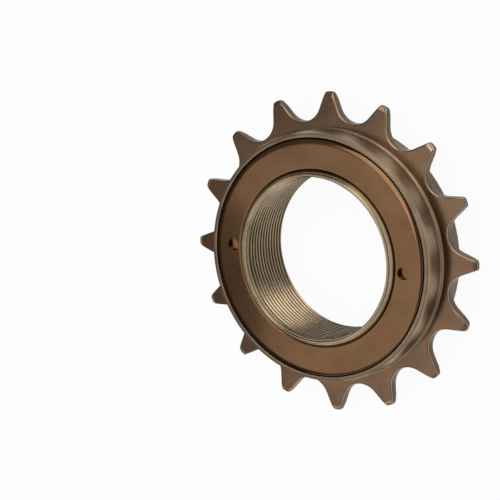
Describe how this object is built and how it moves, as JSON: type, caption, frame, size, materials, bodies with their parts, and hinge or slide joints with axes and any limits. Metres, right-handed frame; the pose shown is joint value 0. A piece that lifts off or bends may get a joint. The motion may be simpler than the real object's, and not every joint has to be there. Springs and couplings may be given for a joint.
{
  "type": "single speed freewheel",
  "caption": "Ring of chain teeth that drives a threaded hub one way and turns free the other, on two rows of balls.",
  "frame": {"origin": "centre of the threaded core's rear face, which the freewheel lies on", "axes": "+Z along the common axis from the rear face to the lockring side. The teeth's gaps lie on +X and +Y."},
  "size_m": [0.0672, 0.0672, 0.0148],
  "materials": {
    "browned_ring": "satin, oil-browned",
    "browned_lockring": "satin, oil-browned",
    "threaded_core": "turned, light oil film",
    "bearing_steel": "polished",
    "spring_steel": "blued strip"
  },
  "bodies": {
    "core": {"inner_body": "threaded_core", "lockring": "browned_lockring", "shim_lower": "spring_steel", "shim_upper": "spring_steel", "pawl_spring_a": "spring_steel", "pawl_spring_b": "spring_steel"},
    "ring": {"sprocket_ring": "browned_ring"},
    "front_row": {"front_balls": "bearing_steel"},
    "rear_row": {"rear_balls": "bearing_steel"},
    "pawl_a": {"pawl_a": "bearing_steel"},
    "pawl_b": {"pawl_b": "bearing_steel"}
  },
  "joints": [
    {"name": "ring_spin", "type": "hinge", "parent": "core", "child": "ring", "pos_m": [0, 0, 0.0064], "axis": [0, 0, 1], "continuous": true},
    {"name": "front_row_orbit", "type": "hinge", "parent": "core", "child": "front_row", "pos_m": [0, 0, 0.0107], "axis": [0, 0, 1], "continuous": true},
    {"name": "rear_row_orbit", "type": "hinge", "parent": "core", "child": "rear_row", "pos_m": [0, 0, 0.0033], "axis": [0, 0, 1], "continuous": true},
    {"name": "pawl_a_swing", "type": "hinge", "parent": "core", "child": "pawl_a", "pos_m": [0, 0.0199, 0.00705], "axis": [0, 0, 1], "range_deg": [0, 14.5], "stiffness_Nm_per_rad": 0.02, "springref_deg": -2.86, "deforming": ["pawl_spring_a"]},
    {"name": "pawl_b_swing", "type": "hinge", "parent": "core", "child": "pawl_b", "pos_m": [0, -0.0199, 0.00705], "axis": [0, 0, 1], "range_deg": [0, 14.5], "stiffness_Nm_per_rad": 0.02, "springref_deg": -2.86, "deforming": ["pawl_spring_b"]}
  ]
}
